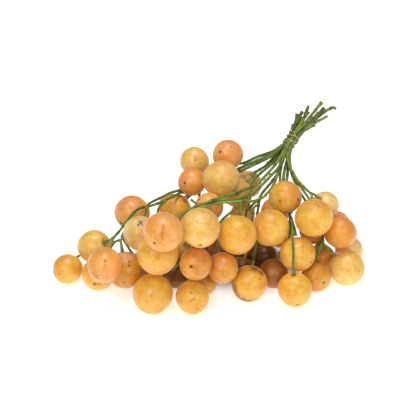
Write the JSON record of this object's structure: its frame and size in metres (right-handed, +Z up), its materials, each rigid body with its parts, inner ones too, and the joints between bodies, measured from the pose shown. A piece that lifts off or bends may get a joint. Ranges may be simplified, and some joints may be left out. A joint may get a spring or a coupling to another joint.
{
  "type": "burmese grape bunch",
  "caption": "Round thin-skinned tropical fruits hanging on thin green stalks that are tied into one bunch, lying on their side in a low heap with the cut stalk ends pointing up.",
  "frame": {"origin": "on the ground, under the middle of the bunch's outline seen from above", "axes": "+X along the bunch towards the side with the tied stalks, +Y away from the front, +Z up"},
  "size_m": [0.265, 0.1764, 0.1204],
  "materials": {
    "fruit_skin": "satin",
    "stalk_green": "matte",
    "tie_straw": "matte"
  },
  "bodies": {
    "root": {"fruit_01": "fruit_skin", "fruit_02": "fruit_skin", "fruit_03": "fruit_skin", "fruit_04": "fruit_skin", "fruit_05": "fruit_skin", "fruit_06": "fruit_skin", "fruit_07": "fruit_skin", "fruit_08": "fruit_skin", "fruit_09": "fruit_skin", "fruit_10": "fruit_skin", "fruit_11": "fruit_skin", "fruit_12": "fruit_skin", "fruit_13": "fruit_skin", "fruit_14": "fruit_skin", "fruit_15": "fruit_skin", "fruit_16": "fruit_skin", "fruit_17": "fruit_skin", "fruit_18": "fruit_skin", "fruit_19": "fruit_skin", "fruit_20": "fruit_skin", "fruit_21": "fruit_skin", "fruit_22": "fruit_skin", "fruit_23": "fruit_skin", "fruit_24": "fruit_skin", "fruit_25": "fruit_skin", "fruit_26": "fruit_skin", "fruit_27": "fruit_skin", "fruit_28": "fruit_skin", "fruit_29": "fruit_skin", "fruit_30": "fruit_skin", "fruit_31": "fruit_skin", "fruit_32": "fruit_skin", "fruit_33": "fruit_skin", "fruit_34": "fruit_skin", "fruit_35": "fruit_skin", "fruit_36": "fruit_skin", "fruit_37": "fruit_skin", "fruit_38": "fruit_skin", "fruit_39": "fruit_skin", "fruit_40": "fruit_skin", "fruit_41": "fruit_skin", "fruit_42": "fruit_skin", "fruit_43": "fruit_skin", "fruit_44": "fruit_skin", "fruit_45": "fruit_skin", "fruit_46": "fruit_skin", "fruit_47": "fruit_skin", "fruit_48": "fruit_skin", "fruit_49": "fruit_skin", "fruit_50": "fruit_skin", "fruit_51": "fruit_skin", "stalk_left": "stalk_green", "stalk_crown": "stalk_green", "stalk_inner": "stalk_green", "stalk_middle": "stalk_green", "stalk_centre": "stalk_green", "stalk_drop": "stalk_green", "stalk_right": "stalk_green", "stalk_far_right": "stalk_green", "tie": "tie_straw"}
  },
  "joints": []
}
